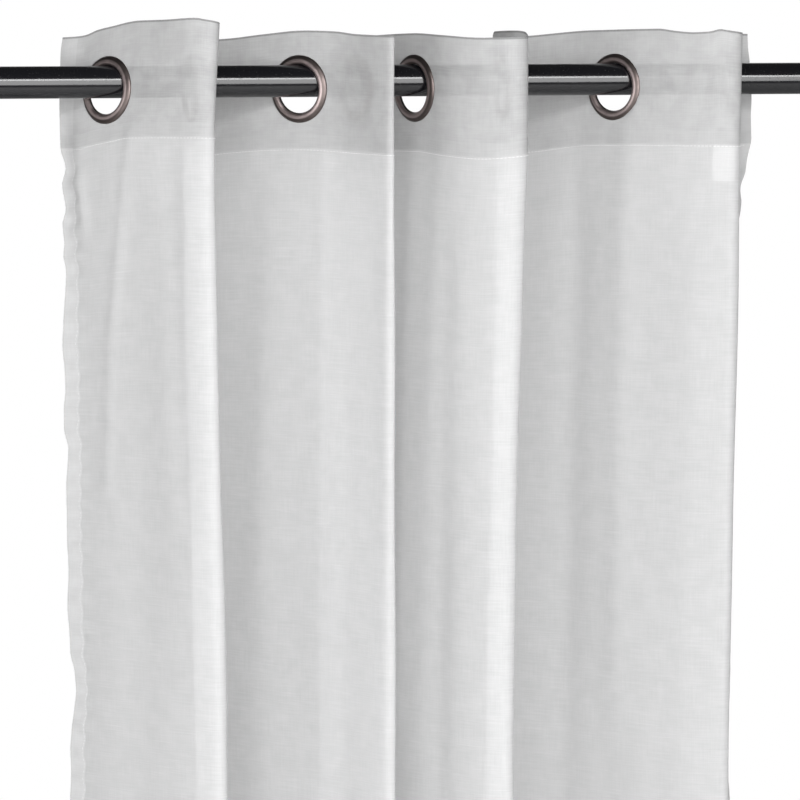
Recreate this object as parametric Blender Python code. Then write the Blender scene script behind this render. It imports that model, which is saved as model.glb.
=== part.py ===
"""Sheer voile curtain on a plain round rod, hung by eight metal eyelets.

Metres, +Z up. The rod lies along X with its middle at the origin, and the viewer looks along +Y.
The cloth is one uneven wave. It goes through the rod's line at each eyelet, from the back to the
front at the odd ones and back again at the even ones, and turns round in a fold between them.
"""
import math
from collections import namedtuple

import bmesh
import bpy
import numpy as np
from mathutils import Matrix, Vector

MM = 0.001

# Rod
ROD_DIAMETER = 0.0254
ROD_LENGTH = 0.80
ROD_FACETS = 40

# Cloth as it was cut and hemmed
EYELET_PITCH = 0.186
END_MARGIN = 0.049
HEADING_ABOVE = 0.0460
HEADING_BELOW = 0.0475
FINISHED_LENGTH = 2.400
BOTTOM_HEM = 0.060
VOILE_THICKNESS = 0.0012
HEM_THICKNESS = 0.0018
HEADING_THICKNESS = 0.0016
GAP = 0.0003

# Eyelets
EYELET_HOLE_RADIUS = 0.0200
EYELET_OUTER_RADIUS = 0.0270
EYELET_BARREL_RADIUS = 0.0214
EYELET_CROWN = 0.0027
EYELET_BACK = 0.0024
EYELET_LIP = 0.0007
EYELET_LIP_SHARE = 0.55
CROWN_INWARD = 0.0014
CROWN_OUTWARD = 0.0008
CROWN_FALL = 0.94
SLOT_GAP = GAP * 1.2
HOLE_GAP = GAP * 1.5
PLUG_DEPTH = 0.0096
EYELET_DROP = 0.0053
EYELET_SEGMENTS = 24
HOLE_SEGMENTS = 24
BESIDE_EYELET = 1.08

# Care label
LABEL_WIDTH = 0.020
LABEL_HEIGHT = 0.029
LABEL_THICKNESS = 0.0010
LABEL_STEPS = 6
LABEL_TO_TIP = 0.016

# Heights below the rod's axis at which the tables give the wave
HEAD_DROP = EYELET_DROP + HEADING_BELOW
NECK_DROP = 0.095
LOW_DROP = 0.574
HEM_DROP = FINISHED_LENGTH - HEADING_ABOVE + EYELET_DROP
LIFT_FADE_DROP = 0.300
LEAN_FADE_DROP = 0.200

# Half of the flat stretch beside each eyelet, at the heading and at the hem
RUN_HEAD = 0.0290
RUN_HEM = 0.0140

FRONT = -1
BACK = 1

# One row for each eyelet, left to right, in millimetres and degrees. x is where the cloth meets the
# rod's line at the heading, the neck, the low level and the hem. turn is the way the cloth runs there:
# 0 is along +X and 90 is away from the viewer. lean tips the eyelet's top away from the viewer, and
# drop is its centre's height below the rod's axis.
Eyelet = namedtuple("Eyelet", "x_head x_neck x_low x_hem turn_head turn_hem lean drop")
EYELETS = (
    Eyelet(-232.6, -232.0, -229.0, -243.0, -53.0, -42.0, 6.0, 5.3),
    Eyelet(-166.5, -163.0, -157.0, -169.0, 95.0, 104.0, 0.0, 6.8),
    Eyelet(-79.2, -80.0, -83.0, -76.0, -48.0, -55.0, 0.0, 5.3),
    Eyelet(-34.2, -34.0, -37.0, -46.0, 110.0, 98.0, 0.0, 6.8),
    Eyelet(13.1, 11.0, 4.0, 16.0, -65.0, -50.0, -1.0, 6.3),
    Eyelet(85.0, 86.0, 76.0, 74.0, 92.0, 106.0, 0.0, 6.8),
    Eyelet(176.8, 176.0, 168.0, 181.0, -53.0, -47.0, 2.0, 5.9),
    Eyelet(274.0, 275.0, 268.0, 286.0, 66.0, 80.0, 0.0, 6.8),
)

# One row for each fold, between eyelets 1 and 2 and so on. x is the fold's outermost point as the
# viewer sees it, at the same four heights. fullness is how round its broad side is.
Fold = namedtuple("Fold", "side x_head x_neck x_low x_hem fullness")
FOLDS = (
    Fold(FRONT, -155.6, -158.4, -152.1, -158.0, 1.45),
    Fold(BACK, -164.3, -164.6, -158.6, -175.0, 1.40),
    Fold(FRONT, -18.0, -19.0, -20.6, -15.0, 1.35),
    Fold(BACK, -51.2, -51.4, -54.9, -63.0, 1.50),
    Fold(FRONT, 92.2, 89.6, 76.8, 89.0, 1.55),
    Fold(BACK, 92.6, 93.3, 81.6, 73.0, 1.40),
    Fold(FRONT, 266.4, 264.4, 256.0, 276.0, 1.45),
)

# The free ends: how far they turn off the flat stretch beside the last eyelet at the heading, the neck
# and the hem, in degrees. The right end curls towards the viewer's right behind the rod.
End = namedtuple("End", "curl_head curl_neck curl_hem")
LEFT_END = End(6.0, 5.6, -14.0)
RIGHT_END = End(-50.0, -8.0, 12.0)

# How far the heading's top edge and its seam stand above their level, in millimetres, at distances
# along the flat cloth. The edges rise by the first fold and sag a little in the others.
Edge = namedtuple("Edge", "along top seam")
EDGES = (
    Edge(0, -5.2, 0.5),
    Edge(14, -4.5, 1.0),
    Edge(22, -3.3, 1.5),
    Edge(34, 0.3, 4.2),
    Edge(49, 2.8, 6.5),
    Edge(80, 7.0, 10.8),
    Edge(110, 7.3, 11.0),
    Edge(140, 8.3, 11.0),
    Edge(150, 6.9, 10.9),
    Edge(165, 4.4, 10.5),
    Edge(235, 0.0, 2.0),
    Edge(320, -7.6, -5.4),
    Edge(350, -6.5, -3.2),
    Edge(386, -3.5, -0.8),
    Edge(425, -0.9, 0.0),
    Edge(455, -1.9, -1.4),
    Edge(480, -5.4, -2.6),
    Edge(540, -6.3, -4.0),
    Edge(607, -6.5, 0.0),
    Edge(680, -6.0, -2.0),
    Edge(793, -3.3, -2.2),
    Edge(830, -5.2, -5.2),
    Edge(870, -7.7, -7.6),
    Edge(908, -7.4, -5.0),
    Edge(979, -0.3, -1.0),
    Edge(1022, -0.1, -3.0),
    Edge(1045, -3.6, -4.2),
    Edge(1070, -5.5, -5.0),
    Edge(1140, -1.2, 1.0),
    Edge(1208, -0.7, 1.6),
    Edge(1224, -3.2, 1.5),
    Edge(1240, -4.6, 1.3),
    Edge(1258, -4.2, 1.0),
    Edge(1285, -1.3, 0.6),
    Edge(1351, 0.0, 0.0),
    Edge(1400, -1.3, 0.0),
)

# Steps along the cloth for each stretch
BROAD_STEPS = 7
NARROW_STEPS = 4
RUN_STEPS = 2
SOLVE_STEPS = 24
SOLVE_ROUNDS = 30
DEPTH_RANGE = (0.005, 0.120)
NARROW_FULLNESS = 1.05
END_SHARES = (0.27, 0.34, 0.67, 1.0)
HEM_SHARE = 0.30

# Heights of the panel's rows below the rod's axis, closest where the cloth changes most
UPPER_ROWS = 7
LOWER_ROWS = 11
UPPER_FOOT_DROP = 0.60
UPPER_SPREAD = 1.4
SMOOTH_ANGLE = math.radians(45)

Column = namedtuple("Column", "x y lean_x lean_y in_hem along")


def between(values, drops, drop):
    """Straight-line value at a height below the rod's axis."""
    return float(np.interp(drop, drops, values))


def level_x(row, drop):
    """X of a table row at a height below the rod's axis."""
    drops = (HEAD_DROP, NECK_DROP, LOW_DROP, HEM_DROP)
    return between((row.x_head, row.x_neck, row.x_low, row.x_hem), drops, drop) * MM


def level_turn(at_head, at_hem, drop):
    """Angle in radians at a height below the rod's axis."""
    return math.radians(between((at_head, at_hem), (HEAD_DROP, HEM_DROP), drop))


def direction(angle):
    """Unit vector in plan for an angle from +X towards +Y."""
    return np.array((math.cos(angle), math.sin(angle)))


def hermite(start, start_way, end, end_way, fullness, steps):
    """Curve in plan from start to end, leaving out its first point."""
    reach = fullness * np.linalg.norm(end - start)
    points = []
    for step in range(1, steps + 1):
        t = step / steps
        points.append(
            (2 * t**3 - 3 * t**2 + 1) * start
            + (t**3 - 2 * t**2 + t) * reach * start_way
            + (3 * t**2 - 2 * t**3) * end
            + (t**3 - t**2) * reach * end_way
        )
    return points


def path_length(points):
    """Length of a line through points."""
    return float(sum(np.linalg.norm(b - a) for a, b in zip(points, points[1:])))


def fold_sides(fold, depth, start, start_way, end, end_way, drop, steps):
    """The two sides of a fold whose tip stands out from the rod's line by depth."""
    tip = np.array((level_x(fold, drop), fold.side * depth))
    tip_way = direction(math.pi / 2)
    if fold.side == FRONT:
        first = hermite(start, start_way, tip, tip_way, fold.fullness, steps[0])
        second = hermite(tip, tip_way, end, end_way, NARROW_FULLNESS, steps[1])
    else:
        first = hermite(start, start_way, tip, tip_way, NARROW_FULLNESS, steps[1])
        second = hermite(tip, tip_way, end, end_way, fold.fullness, steps[0])
    return first, second


def solve_depth(fold, start, start_way, end, end_way, drop, length):
    """Depth of the fold's tip that uses up the given length of cloth."""
    low, high = DEPTH_RANGE
    for _ in range(SOLVE_ROUNDS):
        middle = (low + high) / 2
        sides = fold_sides(
            fold, middle, start, start_way, end, end_way, drop, (SOLVE_STEPS, SOLVE_STEPS)
        )
        if path_length([start, *sides[0], *sides[1]]) < length:
            low = middle
        else:
            high = middle
    return (low + high) / 2


def lean_of(eyelet):
    """Sideways shift of the cloth in plan for each metre of height above the eyelet."""
    way = direction(math.radians(eyelet.turn_head))
    away = np.array((-way[1], way[0]))
    if away[1] < 0:
        away = -away
    return math.tan(math.radians(eyelet.lean)) * away


def blend_columns(points, lean_from, lean_to):
    """Columns whose lean passes smoothly from one value to the next."""
    columns = []
    for number, point in enumerate(points, 1):
        share = number / len(points)
        ease = share * share * (3 - 2 * share)
        lean = lean_from + (lean_to - lean_from) * ease
        columns.append(Column(point[0], point[1], lean[0], lean[1], False, 0.0))
    return columns


def end_columns(end, eyelet, start, way, run, drop, sign):
    """Columns of a free end, from the flat stretch out to the hemmed edge."""
    turn = math.radians(between(end, (HEAD_DROP, NECK_DROP, HEM_DROP), drop))
    turned = direction(math.atan2(way[1], way[0]) + turn)
    chord = way + turned
    reach = END_MARGIN - run
    edge = start + sign * reach * chord / np.linalg.norm(chord)
    lean = lean_of(eyelet)
    columns = []
    for share in END_SHARES:
        bend = share * (1 - share) * reach * math.tan(turn / 2)
        side = np.array((-way[1], way[0])) * bend * -sign
        point = start + (edge - start) * share + side
        columns.append(Column(point[0], point[1], lean[0], lean[1], share > HEM_SHARE, 0.0))
    return columns


def measured(columns):
    """The same columns, each with its distance along the cloth from the left edge."""
    along = 0.0
    result = []
    for number, column in enumerate(columns):
        if number:
            before = columns[number - 1]
            along += math.hypot(column.x - before.x, column.y - before.y)
        result.append(column._replace(along=along))
    return result


def section(drop):
    """Columns of the cloth, left to right, at a height below the rod's axis."""
    run = between((RUN_HEAD, RUN_HEM), (HEAD_DROP, LOW_DROP), drop)
    ways = [direction(level_turn(row.turn_head, row.turn_hem, drop)) for row in EYELETS]
    spots = [np.array((level_x(row, drop), 0.0)) for row in EYELETS]

    first_start = spots[0] - run * ways[0]
    left = end_columns(LEFT_END, EYELETS[0], first_start, ways[0], run, drop, -1)
    columns = list(reversed(left))
    for number, eyelet in enumerate(EYELETS):
        lean = lean_of(eyelet)
        begin = spots[number] - run * ways[number]
        for step in range(RUN_STEPS + 1):
            point = begin + ways[number] * 2 * run * step / RUN_STEPS
            columns.append(Column(point[0], point[1], lean[0], lean[1], False, 0.0))
        if number == len(FOLDS):
            break
        fold = FOLDS[number]
        start = spots[number] + run * ways[number]
        end = spots[number + 1] - run * ways[number + 1]
        ends = (start, ways[number], end, ways[number + 1])
        depth = solve_depth(fold, *ends, drop, EYELET_PITCH - 2 * run)
        steps = (BROAD_STEPS, NARROW_STEPS)
        first, second = fold_sides(fold, depth, *ends, drop, steps)
        columns += blend_columns(first, lean, np.zeros(2))
        columns += blend_columns(second, np.zeros(2), lean_of(EYELETS[number + 1]))[:-1]
    last_start = spots[-1] + run * ways[-1]
    columns += end_columns(RIGHT_END, EYELETS[-1], last_start, ways[-1], run, drop, 1)
    return measured(columns)


def edge_lift(column, edge):
    """How far the heading's top edge or its seam stands above its level at a column."""
    places = [row.along * MM for row in EDGES]
    return MM * float(np.interp(column.along, places, [getattr(row, edge) for row in EDGES]))


def cloth_point(column, drop, lift=0.0):
    """Place of a column's point at a height below the rod's axis, raised by lift."""
    height = lift - drop
    above = max(height + EYELET_DROP, -HEADING_BELOW)
    lean = above * between((1.0, 0.0), (HEAD_DROP, LEAN_FADE_DROP), drop)
    return Vector((column.x + column.lean_x * lean, column.y + column.lean_y * lean, height))


def material(name, colour, roughness, metallic=0.0, alpha=1.0):
    """A plain material."""
    made = bpy.data.materials.new(name)
    made.use_nodes = True
    shader = made.node_tree.nodes["Principled BSDF"]
    shader.inputs["Base Color"].default_value = (*colour, 1.0)
    shader.inputs["Roughness"].default_value = roughness
    shader.inputs["Metallic"].default_value = metallic
    shader.inputs["Alpha"].default_value = alpha
    made.diffuse_color = (*colour, alpha)
    return made


def add_object(name, mesh, finish):
    """A scene object for a mesh, with its material."""
    placed = bpy.data.objects.new(name, mesh)
    if finish is not None and not mesh.materials:
        mesh.materials.append(finish)
    bpy.context.scene.collection.objects.link(placed)
    return placed


def extruded_from(old, fresh):
    """The new point that was drawn out of an old one."""
    return next(edge.other_vert(old) for edge in old.link_edges if edge.other_vert(old) in fresh)


def sheet_mesh(name, rows):
    """A sheet drawn row by row: the first row is a chain of edges, and each next one is extruded."""
    shape = bmesh.new()
    chain = [shape.verts.new(point) for point in rows[0]]
    edges = [shape.edges.new(pair) for pair in zip(chain, chain[1:])]
    for row in rows[1:]:
        made = bmesh.ops.extrude_edge_only(shape, edges=edges)["geom"]
        fresh = {item for item in made if isinstance(item, bmesh.types.BMVert)}
        lines = [item for item in made if isinstance(item, bmesh.types.BMEdge)]
        edges = [line for line in lines if fresh.issuperset(line.verts)]
        chain = [extruded_from(old, fresh) for old in chain]
        for vert, point in zip(chain, row):
            vert.co = point
    bmesh.ops.recalc_face_normals(shape, faces=shape.faces[:])
    mesh = bpy.data.meshes.new(name)
    shape.to_mesh(mesh)
    shape.free()
    mesh.shade_smooth()
    return mesh


def add_sheet(name, rows, thickness, finish, thick=()):
    """A sheet with real thickness. thick names the points that are at full thickness."""
    placed = add_object(name, sheet_mesh(name, rows), finish)
    solid = placed.modifiers.new("thickness", "SOLIDIFY")
    solid.offset = 0.0
    solid.use_even_offset = True
    solid.thickness = thickness
    if thick:
        group = placed.vertex_groups.new(name="hem")
        group.add(thick, 1.0, "REPLACE")
        solid.vertex_group = group.name
        solid.thickness = HEM_THICKNESS
        solid.thickness_vertex_group = thickness / HEM_THICKNESS
    return placed


def eyelet_frame(eyelet):
    """Place of an eyelet: X along the cloth, Y up it, Z towards the viewer."""
    way = direction(math.radians(eyelet.turn_head))
    along = Vector((way[0], way[1], 0.0))
    lean = lean_of(eyelet)
    upward = Vector((lean[0], lean[1], 1.0)).normalized()
    facing = along.cross(upward).normalized()
    if facing.y > 0:
        along = -along
        facing = -facing
    frame = Matrix((along, upward, facing)).transposed().to_4x4()
    lower = EYELET_DROP - eyelet.drop * MM
    frame.translation = Vector((eyelet.x_head * MM + lean[0] * lower, lean[1] * lower, -eyelet.drop * MM))
    return frame


def build_rod(finish):
    """The plain rod, its ends cut square."""
    shape = bmesh.new()
    bmesh.ops.create_cone(
        shape, cap_ends=True, cap_tris=False, segments=ROD_FACETS,
        radius1=ROD_DIAMETER / 2, radius2=ROD_DIAMETER / 2, depth=ROD_LENGTH,
    )
    bmesh.ops.rotate(shape, verts=shape.verts, cent=(0, 0, 0), matrix=Matrix.Rotation(math.pi / 2, 3, "Y"))
    mesh = bpy.data.meshes.new("rod")
    shape.to_mesh(mesh)
    shape.free()
    mesh.shade_smooth()
    mesh.set_sharp_from_angle(angle=SMOOTH_ANGLE)
    return add_object("rod", mesh, finish)


def build_hole_cutter():
    """Plugs that cut the eight round holes in the heading."""
    shape = bmesh.new()
    for eyelet in EYELETS:
        bmesh.ops.create_cone(
            shape, cap_ends=True, cap_tris=False, segments=HOLE_SEGMENTS,
            radius1=EYELET_BARREL_RADIUS + HOLE_GAP, radius2=EYELET_BARREL_RADIUS + HOLE_GAP,
            depth=PLUG_DEPTH, matrix=eyelet_frame(eyelet),
        )
    mesh = bpy.data.meshes.new("hole_cutter")
    shape.to_mesh(mesh)
    shape.free()
    cutter = add_object("hole_cutter", mesh, None)
    cutter.hide_render = True
    cutter.display_type = "WIRE"
    return cutter


def build_heading(finish):
    """The doubled strip along the top, with a hole for each eyelet."""
    columns = section(HEAD_DROP)
    beside = EYELET_OUTER_RADIUS * BESIDE_EYELET
    rows = (
        [cloth_point(column, EYELET_DROP - HEADING_ABOVE, edge_lift(column, "top")) for column in columns],
        [cloth_point(column, EYELET_DROP - beside) for column in columns],
        [cloth_point(column, EYELET_DROP + beside) for column in columns],
        [cloth_point(column, HEAD_DROP - GAP / 2, edge_lift(column, "seam")) for column in columns],
    )
    heading = add_sheet("heading", rows, HEADING_THICKNESS, finish)
    holes = heading.modifiers.new("eyelet_holes", "BOOLEAN")
    holes.operation = "DIFFERENCE"
    holes.object = build_hole_cutter()
    return heading


def panel_drops():
    """Heights of the panel's rows below the rod's axis, from the heading's seam to the hem."""
    top = HEAD_DROP + GAP / 2
    hem_top = HEM_DROP - BOTTOM_HEM
    upper = [top + (UPPER_FOOT_DROP - top) * (row / UPPER_ROWS) ** UPPER_SPREAD for row in range(UPPER_ROWS)]
    span = hem_top - UPPER_FOOT_DROP
    lower = [UPPER_FOOT_DROP + span * row / LOWER_ROWS for row in range(LOWER_ROWS + 1)]
    return upper + lower + [hem_top + VOILE_THICKNESS, HEM_DROP]


def build_panel(finish):
    """The single voile below the heading, thicker where it is hemmed."""
    drops = panel_drops()
    rows = []
    thick = []
    for number, drop in enumerate(drops):
        columns = section(drop)
        for place, column in enumerate(columns):
            if column.in_hem or number >= len(drops) - 2:
                thick.append(number * len(columns) + place)
        fade = between((1.0, 0.0), (HEAD_DROP, LIFT_FADE_DROP), drop)
        rows.append([cloth_point(column, drop, fade * edge_lift(column, "seam")) for column in columns])
    return add_sheet("panel", rows, VOILE_THICKNESS, finish, thick)


def eyelet_profile():
    """Half section of a ring: distance from its axis and height along it, front face upwards."""
    slot = HEADING_THICKNESS / 2 + SLOT_GAP
    rim = EYELET_OUTER_RADIUS
    barrel = EYELET_BARREL_RADIUS
    hole = EYELET_HOLE_RADIUS
    crown = (barrel + rim) / 2
    lip = hole + EYELET_LIP
    return (
        (hole, 0.0), (lip, EYELET_CROWN * EYELET_LIP_SHARE), (crown - CROWN_INWARD, EYELET_CROWN),
        (crown + CROWN_OUTWARD, EYELET_CROWN * CROWN_FALL), (rim, slot), (barrel, slot), (barrel, -slot),
        (rim, -slot), (crown, -EYELET_BACK), (lip, -EYELET_BACK * EYELET_LIP_SHARE),
    )


def build_eyelets(finish):
    """Eight rings that share one turned mesh."""
    shape = bmesh.new()
    ring = [shape.verts.new((radius, 0.0, height)) for radius, height in eyelet_profile()]
    edges = [shape.edges.new(pair) for pair in zip(ring, ring[1:] + ring[:1])]
    bmesh.ops.spin(
        shape, geom=ring + edges, cent=(0, 0, 0), axis=(0, 0, 1), angle=2 * math.pi,
        steps=EYELET_SEGMENTS, use_merge=True,
    )
    bmesh.ops.remove_doubles(shape, verts=shape.verts, dist=0.00001)
    bmesh.ops.recalc_face_normals(shape, faces=shape.faces[:])
    mesh = bpy.data.meshes.new("eyelet_ring")
    shape.to_mesh(mesh)
    shape.free()
    mesh.shade_smooth()
    mesh.set_sharp_from_angle(angle=SMOOTH_ANGLE)
    made = []
    for number, eyelet in enumerate(EYELETS, 1):
        ring_object = add_object(f"eyelet_{number}", mesh, finish)
        ring_object.matrix_world = eyelet_frame(eyelet)
        made.append(ring_object)
    return made


def label_row(drop):
    """One row of the label's points, just behind the cloth of the last front fold."""
    behind = (VOILE_THICKNESS + LABEL_THICKNESS) / 2 + 2 * GAP
    columns = section(drop)
    tip = min(columns, key=lambda column: abs(column.x - level_x(FOLDS[-1], drop)) + max(column.y, 0.0))
    points = [cloth_point(column, drop, edge_lift(column, "seam")) for column in columns]
    walked = [column.along for column in columns]
    row = []
    for step in range(LABEL_STEPS + 1):
        at = tip.along - LABEL_TO_TIP - LABEL_WIDTH * (1 - step / LABEL_STEPS)
        spot, ahead = (
            np.array([np.interp(place, walked, [point[axis] for point in points]) for axis in range(3)])
            for place in (at, at + MM)
        )
        way = (ahead - spot)[:2] / np.linalg.norm((ahead - spot)[:2])
        row.append(Vector((spot[0] - way[1] * behind, spot[1] + way[0] * behind, spot[2])))
    return row


def build_care_label(finish):
    """The blank tab behind the last front fold, hanging from the heading's seam along the cloth."""
    top = HEAD_DROP + GAP * 2
    rows = [label_row(top + LABEL_HEIGHT * share) for share in (0.0, 0.5, 1.0)]
    return add_sheet("care_label", rows, LABEL_THICKNESS, finish)


def main():
    """Builds every piece of the curtain."""
    for old in list(bpy.data.objects):
        bpy.data.objects.remove(old, do_unlink=True)
    voile = material("voile", (0.82, 0.82, 0.83), 0.85, alpha=0.6)
    doubled = material("doubled_voile", (0.76, 0.76, 0.77), 0.85, alpha=0.8)
    gunmetal = material("gunmetal", (0.12, 0.10, 0.09), 0.30, metallic=1.0)
    black = material("black_gloss", (0.010, 0.010, 0.011), 0.25)
    white = material("white_tape", (0.86, 0.86, 0.86), 0.80)
    build_rod(black)
    build_heading(doubled)
    build_panel(voile)
    build_eyelets(gunmetal)
    build_care_label(white)


main()
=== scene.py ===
"""Looks of a sheer voile curtain that hangs from a plain black rod by eight metal eyelets.

Metres, +Z up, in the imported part's own frame: the rod lies along X with its middle at the origin, and
the viewer looks along +Y. The cloth is cut flat here and hung again, finer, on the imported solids' folds.
"""
import logging
import math
from dataclasses import dataclass
from enum import Enum
from typing import Callable, Sequence

import bmesh
import bpy
import numpy as np
from mathutils import Matrix, Vector


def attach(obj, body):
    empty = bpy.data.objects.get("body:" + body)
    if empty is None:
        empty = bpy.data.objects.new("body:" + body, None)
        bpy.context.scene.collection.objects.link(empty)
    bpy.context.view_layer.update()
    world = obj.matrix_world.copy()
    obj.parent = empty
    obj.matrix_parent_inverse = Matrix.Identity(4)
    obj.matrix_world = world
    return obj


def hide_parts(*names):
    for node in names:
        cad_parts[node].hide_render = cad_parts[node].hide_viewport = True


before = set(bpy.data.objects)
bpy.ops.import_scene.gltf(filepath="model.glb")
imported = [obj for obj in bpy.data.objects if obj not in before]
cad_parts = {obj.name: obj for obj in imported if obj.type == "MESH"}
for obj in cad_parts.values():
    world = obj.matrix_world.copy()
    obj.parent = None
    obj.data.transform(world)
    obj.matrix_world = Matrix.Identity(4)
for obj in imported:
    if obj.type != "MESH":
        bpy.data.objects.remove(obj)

LOG = logging.getLogger("curtain")
Socket = bpy.types.NodeSocket
NodeTree = bpy.types.NodeTree
BMesh = bmesh.types.BMesh
Triple = tuple[float, float, float]
MM = 0.001

# The cloth as it was cut, in metres
FLAT_WIDTH = 1.400
EYELET_PITCH = 0.186
END_MARGIN = 0.049
HEADING_ABOVE = 0.0460
HEADING_BELOW = 0.0475
FINISHED_LENGTH = 2.400
SIDE_HEM = 0.014
BOTTOM_HEM = 0.060
EYELET_DROP = 0.0053
PAST_EDGE = 0.010

# Heights below the rod's axis at which the tables give the wave
TOP_DROP = EYELET_DROP - HEADING_ABOVE
SEAM_DROP = EYELET_DROP + HEADING_BELOW
NECK_DROP = 0.095
LOW_DROP = 0.574
HEM_DROP = FINISHED_LENGTH - HEADING_ABOVE + EYELET_DROP
LIFT_FADE_DROP = 0.300
LEAN_FADE_DROP = 0.200
PANEL_LENGTH = HEM_DROP - SEAM_DROP

# Half of the flat stretch beside each eyelet, at the heading and at the low level
RUN_HEAD = 0.0290
RUN_LOW = 0.0140


class Side(Enum):
    """The side of the rod on which a fold stands."""

    FRONT = -1
    BACK = 1


@dataclass(frozen=True)
class EyeletRow:
    """Where the cloth passes the rod, in millimetres and degrees.

    turn is the way the cloth runs: 0 is along +X and 90 is away from the viewer. lean tips the
    eyelet's top away from the viewer, and drop is its centre's height below the rod's axis.
    """

    x_head: float
    x_neck: float
    x_low: float
    x_hem: float
    turn_head: float
    turn_hem: float
    lean: float
    drop: float


@dataclass(frozen=True)
class FoldRow:
    """The outermost point of a fold as the viewer sees it, in millimetres.

    fullness says how round its broad side is.
    """

    side: Side
    x_top: float
    x_seam: float
    x_neck: float
    x_low: float
    x_hem: float
    fullness: float


@dataclass(frozen=True)
class EdgeRow:
    """How far the heading's top edge and seam stand above their level, at a distance along the cloth."""

    along: float
    top: float
    seam: float


@dataclass(frozen=True)
class CreaseRow:
    """A soft ridge pressed into the cloth, from one place on the flat cloth to another, in millimetres."""

    along_top: float
    drop_top: float
    along_foot: float
    drop_foot: float
    width: float
    depth: float


@dataclass(frozen=True)
class ScallopRow:
    """How far a side hem stands out at a height below the rod's axis, in millimetres.

    The left hem stands out along the cloth, and the right one, which runs away from the viewer, along X.
    """

    drop: float
    out: float


EYELETS = (
    EyeletRow(-232.6, -232.0, -229.0, -243.0, -53.0, -42.0, 6.0, 6.2),
    EyeletRow(-166.5, -163.0, -157.0, -169.0, 95.0, 104.0, 0.0, 6.1),
    EyeletRow(-79.9, -80.5, -83.5, -76.0, -44.5, -55.0, 0.0, 6.25),
    EyeletRow(-34.2, -34.0, -37.0, -46.0, 110.0, 98.0, 0.0, 6.1),
    EyeletRow(13.1, 11.0, 4.0, 16.0, -65.0, -50.0, -1.0, 6.25),
    EyeletRow(85.0, 86.0, 76.0, 74.0, 92.0, 106.0, 0.0, 6.1),
    EyeletRow(176.8, 176.0, 168.0, 181.0, -53.0, -47.0, 2.0, 6.2),
    EyeletRow(274.0, 275.0, 268.0, 286.0, 66.0, 80.0, 0.0, 6.1),
)

FOLDS = (
    FoldRow(Side.FRONT, -152.6, -157.8, -158.2, -152.1, -158.0, 1.45),
    FoldRow(Side.BACK, -164.3, -164.3, -164.6, -158.6, -175.0, 1.40),
    FoldRow(Side.FRONT, -17.4, -18.8, -19.0, -20.6, -15.0, 1.35),
    FoldRow(Side.BACK, -51.2, -51.2, -51.4, -54.9, -63.0, 1.50),
    FoldRow(Side.FRONT, 92.2, 91.4, 89.6, 76.8, 89.0, 1.55),
    FoldRow(Side.BACK, 92.6, 92.6, 93.3, 81.6, 73.0, 1.40),
    FoldRow(Side.FRONT, 267.6, 265.2, 264.4, 256.0, 276.0, 1.45),
)

# How far the two free ends turn off the flat stretch beside the last eyelet, at the heading, the neck
# and the hem, in degrees
LEFT_CURL = (6.0, 5.6, -14.0)
RIGHT_CURL = (-50.0, -8.0, 12.0)

EDGES = tuple(EdgeRow(*row) for row in (
    (0, -5.2, 0.5), (14, -4.5, 1.0), (22, -3.3, 1.5), (34, 0.3, 4.2), (49, 2.8, 6.5), (80, 7.0, 10.8),
    (110, 7.3, 11.0), (140, 8.3, 11.0), (150, 6.9, 10.9), (165, 4.4, 10.5), (235, 0.0, 2.0),
    (320, -7.6, -5.4), (350, -6.5, -3.2), (386, -3.5, -0.8), (425, -0.9, 0.0), (455, -1.9, -1.4),
    (480, -4.4, -2.6), (540, -6.3, -4.0), (607, -6.5, 0.0), (680, -6.0, -2.0), (793, -3.3, -2.2),
    (830, -5.2, -5.2), (870, -7.7, -7.6), (908, -7.4, -5.0), (916, -6.0, -4.5), (926, -3.0, -4.0),
    (940, -1.9, -3.2), (979, -1.6, -1.0), (1004, -1.7, -2.0), (1016, -6.5, -2.8), (1045, -6.5, -4.2),
    (1070, -5.5, -5.0), (1140, -1.2, 1.0), (1208, -0.7, 1.6), (1224, -2.6, 1.5), (1240, -3.9, 1.3),
    (1254, -3.4, 1.1), (1262, -1.6, 1.0), (1270, -2.8, 0.9), (1285, -4.3, 0.6), (1351, -3.0, 0.0),
    (1400, -4.3, 0.0),
))

CREASES = tuple(CreaseRow(*row) for row in (
    (79, 46, 63, 124, 6, 1.1), (63, 124, 48, 204, 6, 1.3), (48, 204, 41, 330, 7, 1.1),
    (20, 72, 24, 118, 5, 1.5), (118, 60, 126, 330, 12, -1.4), (395, 70, 380, 420, 16, 1.2),
    (520, 60, 524, 560, 14, 1.3), (470, 180, 465, 700, 16, -1.3), (790, 60, 782, 500, 12, 1.6),
    (835, 110, 830, 620, 12, -1.6), (1180, -20, 1176, 520, 14, 2.2), (1128, 60, 1120, 640, 16, -1.6),
    (1245, 120, 1238, 700, 14, 1.5),
))

LEFT_SCALLOPS = tuple(ScallopRow(*row) for row in (
    (-40, 0.0), (-30, 2.1), (-12, 3.0), (20, 4.4), (52, 4.1), (68, -1.3), (82, 2.7), (101, -1.2),
    (112, 2.8), (128, 1.5), (138, 2.5), (150, 0.2), (178, 2.9), (200, 4.9), (211, 5.6), (227, 3.6),
    (244, 3.1), (259, 4.9), (275, 5.2), (292, 1.0), (308, 2.6), (324, 4.2), (341, 4.2), (362, 4.6),
    (389, 3.8), (402, 4.7), (421, 5.8), (438, 4.2), (456, 3.3), (470, -0.8), (486, -2.2), (497, -0.7),
    (519, 3.2), (535, 4.8), (551, 4.4), (574, 6.0),
))

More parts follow.
